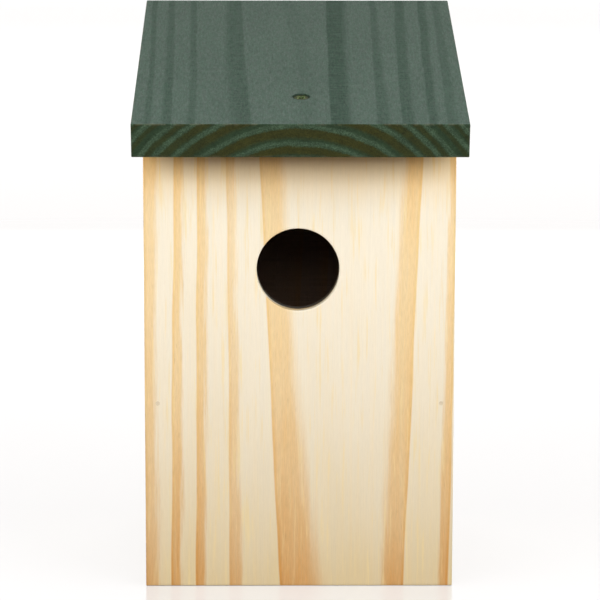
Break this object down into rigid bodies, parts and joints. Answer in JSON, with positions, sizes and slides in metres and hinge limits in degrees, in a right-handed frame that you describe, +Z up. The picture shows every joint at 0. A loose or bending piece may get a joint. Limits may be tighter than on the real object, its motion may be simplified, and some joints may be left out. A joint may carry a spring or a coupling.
{
  "type": "nest box",
  "caption": "Upright timber nest box with a round entrance hole in its front and a sloping, stained roof board hinged at the back and held shut by a screw.",
  "frame": {"origin": "middle of the box's base, level with the undersides of its walls and floor", "axes": "+Z up; the front with the entrance hole faces -Y; +X is on the right of someone looking at the front"},
  "size_m": [0.1264, 0.1516, 0.2219],
  "materials": {
    "pine": "planed bare pine",
    "stained_pine": "pine with a matt dark green stain",
    "yellow_zinc": "yellow zinc plate, stained over",
    "zinc_steel": "bright zinc plate",
    "brad_steel": "bare wire"
  },
  "bodies": {
    "box": {"front_panel": "pine", "back_panel": "pine", "left_side_panel": "pine", "right_side_panel": "pine", "floor_panel": "pine", "left_hinge_body_leaf": "zinc_steel", "right_hinge_body_leaf": "zinc_steel", "left_hinge_pin": "zinc_steel", "right_hinge_pin": "zinc_steel", "hinge_body_screws": "zinc_steel", "hanger_plate": "zinc_steel", "hanger_screws": "zinc_steel", "front_panel_brads": "brad_steel", "back_panel_brads": "brad_steel", "floor_brads": "brad_steel"},
    "roof": {"roof_panel": "stained_pine", "left_hinge_roof_leaf": "zinc_steel", "right_hinge_roof_leaf": "zinc_steel", "hinge_roof_screws": "zinc_steel"},
    "screw": {"roof_screw": "yellow_zinc"}
  },
  "joints": [
    {"name": "roof_hinge", "type": "hinge", "parent": "box", "child": "roof", "pos_m": [0, 0.0623, 0.20929], "axis": [-1, 0, 0], "range_deg": [0, 175]},
    {"name": "roof_screw_withdraw", "type": "slide", "parent": "roof", "child": "screw", "axis": [0, -0.2501, 0.9682], "range_m": [0, 0.024]}
  ]
}
